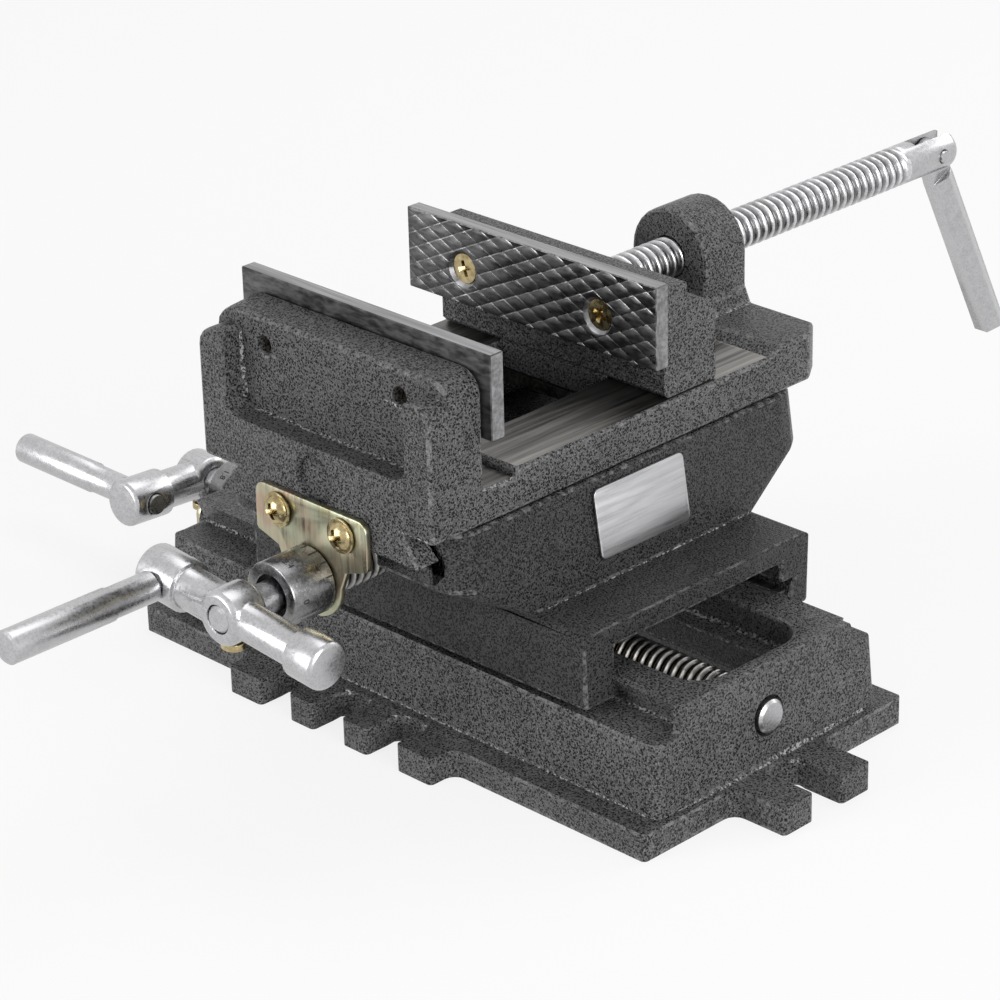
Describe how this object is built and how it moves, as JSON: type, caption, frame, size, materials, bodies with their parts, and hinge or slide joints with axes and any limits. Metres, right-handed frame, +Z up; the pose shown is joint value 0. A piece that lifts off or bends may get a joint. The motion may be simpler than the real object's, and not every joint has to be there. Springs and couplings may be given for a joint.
{
  "type": "cross slide vise",
  "caption": "Drill press vise on two crossed dovetail slides, with crank driven feed screws, graduated dials and a screw clamped movable jaw on a slotted flange.",
  "frame": {"origin": "on the underside of the flange, at the root of a front side lug, level with the base's middle along X", "axes": "+X along the base and the lower feed, +Y along the clamping direction from the fixed to the movable jaw, +Z up"},
  "size_m": [0.3235, 0.3975, 0.1374],
  "materials": {
    "hammer_paint": "charcoal hammered enamel over cast iron",
    "machined_iron": "machined dark grey iron",
    "jaw_steel": "dark hardened steel with bright cut lines",
    "bright_zinc": "satin zinc plated steel",
    "yellow_zinc": "yellow passivated zinc on pressed sheet",
    "brass_screw": "yellow zinc plated screw",
    "thread_steel": "rolled thread in bright steel",
    "label_metal": "bare satin aluminium plate",
    "bronze_nut": "cast bronze feed nut",
    "black_screw": "black oxide screw"
  },
  "bodies": {
    "base": {"base_casting": "hammer_paint", "lower_bearing_plate": "yellow_zinc", "lower_bearing_screw_front": "brass_screw", "lower_bearing_screw_rear": "brass_screw"},
    "saddle": {"saddle_casting": "hammer_paint", "label_plate": "label_metal", "lower_gib": "machined_iron", "upper_gib": "machined_iron", "lower_feed_nut": "bronze_nut", "lower_feed_nut_screw": "black_screw", "upper_feed_nut": "bronze_nut", "upper_feed_nut_screw": "black_screw", "lower_gib_1_locknut": "bright_zinc", "lower_gib_1_screw": "black_screw", "lower_gib_2_locknut": "bright_zinc", "lower_gib_2_screw": "black_screw", "lower_gib_3_locknut": "bright_zinc", "lower_gib_3_screw": "black_screw", "upper_gib_1_locknut": "bright_zinc", "upper_gib_1_screw": "black_screw", "upper_gib_2_locknut": "bright_zinc", "upper_gib_2_screw": "black_screw", "upper_gib_3_locknut": "bright_zinc", "upper_gib_3_screw": "black_screw"},
    "lower_screw": {"lower_feed_screw": "thread_steel", "lower_crank": "bright_zinc", "lower_handle": "bright_zinc", "lower_hub_screw": "brass_screw"},
    "lower_dial": {"lower_dial": "bright_zinc"},
    "vise": {"vise_body": "hammer_paint", "fixed_jaw_plate": "jaw_steel", "fixed_jaw_screw_left": "brass_screw", "fixed_jaw_screw_right": "brass_screw", "upper_bearing_plate": "yellow_zinc", "upper_bearing_screw_left": "brass_screw", "upper_bearing_screw_right": "brass_screw"},
    "upper_screw": {"upper_feed_screw": "thread_steel", "upper_crank": "bright_zinc", "upper_handle": "bright_zinc", "upper_hub_screw": "brass_screw"},
    "upper_dial": {"upper_dial": "bright_zinc"},
    "jaw": {"movable_jaw": "hammer_paint", "movable_jaw_plate": "jaw_steel", "movable_jaw_screw_left": "brass_screw", "movable_jaw_screw_right": "brass_screw", "jaw_keeper": "machined_iron", "jaw_keeper_screw_left": "black_screw", "jaw_keeper_screw_right": "black_screw", "screw_retaining_pin": "bright_zinc"},
    "clamp": {"clamp_screw": "thread_steel", "clamp_handle_pin": "bright_zinc"},
    "handle": {"clamp_handle": "bright_zinc"}
  },
  "joints": [
    {"name": "saddle_slide", "type": "slide", "parent": "base", "child": "saddle", "axis": [1, 0, 0], "range_m": [-0.05, 0.018]},
    {"name": "lower_screw_turn", "type": "hinge", "parent": "base", "child": "lower_screw", "pos_m": [0, 0.052, 0.0228], "axis": [1, 0, 0], "range_deg": [-2162, 6002]},
    {"name": "lower_dial_turn", "type": "hinge", "parent": "lower_screw", "child": "lower_dial", "pos_m": [-0.117, 0.052, 0.0228], "axis": [1, 0, 0], "continuous": true},
    {"name": "vise_slide", "type": "slide", "parent": "saddle", "child": "vise", "axis": [0, 1, 0], "range_m": [-0.058, 0.003]},
    {"name": "upper_screw_turn", "type": "hinge", "parent": "vise", "child": "upper_screw", "pos_m": [0.0045, -0.0276, 0.0635], "axis": [0, 1, 0], "range_deg": [-6962, 362]},
    {"name": "upper_dial_turn", "type": "hinge", "parent": "upper_screw", "child": "upper_dial", "pos_m": [0.0045, -0.038, 0.0635], "axis": [0, 1, 0], "continuous": true},
    {"name": "jaw_slide", "type": "slide", "parent": "vise", "child": "jaw", "axis": [0, 1, 0], "range_m": [-0.06, 0.014]},
    {"name": "clamp_screw_turn", "type": "hinge", "parent": "jaw", "child": "clamp", "pos_m": [0.0045, 0.086, 0.117], "axis": [0, 1, 0], "range_deg": [-6355, 1484]},
    {"name": "clamp_handle_fold", "type": "hinge", "parent": "clamp", "child": "handle", "pos_m": [0.0045, 0.241, 0.117], "axis": [1, 0, 0], "range_deg": [-26, 150]}
  ],
  "couplings": [
    {"joint": "lower_screw_turn", "follows": "saddle_slide", "rad_per_m": -2094.4},
    {"joint": "upper_screw_turn", "follows": "vise_slide", "rad_per_m": 2094.4},
    {"joint": "clamp_screw_turn", "follows": "jaw_slide", "rad_per_m": 1848}
  ]
}
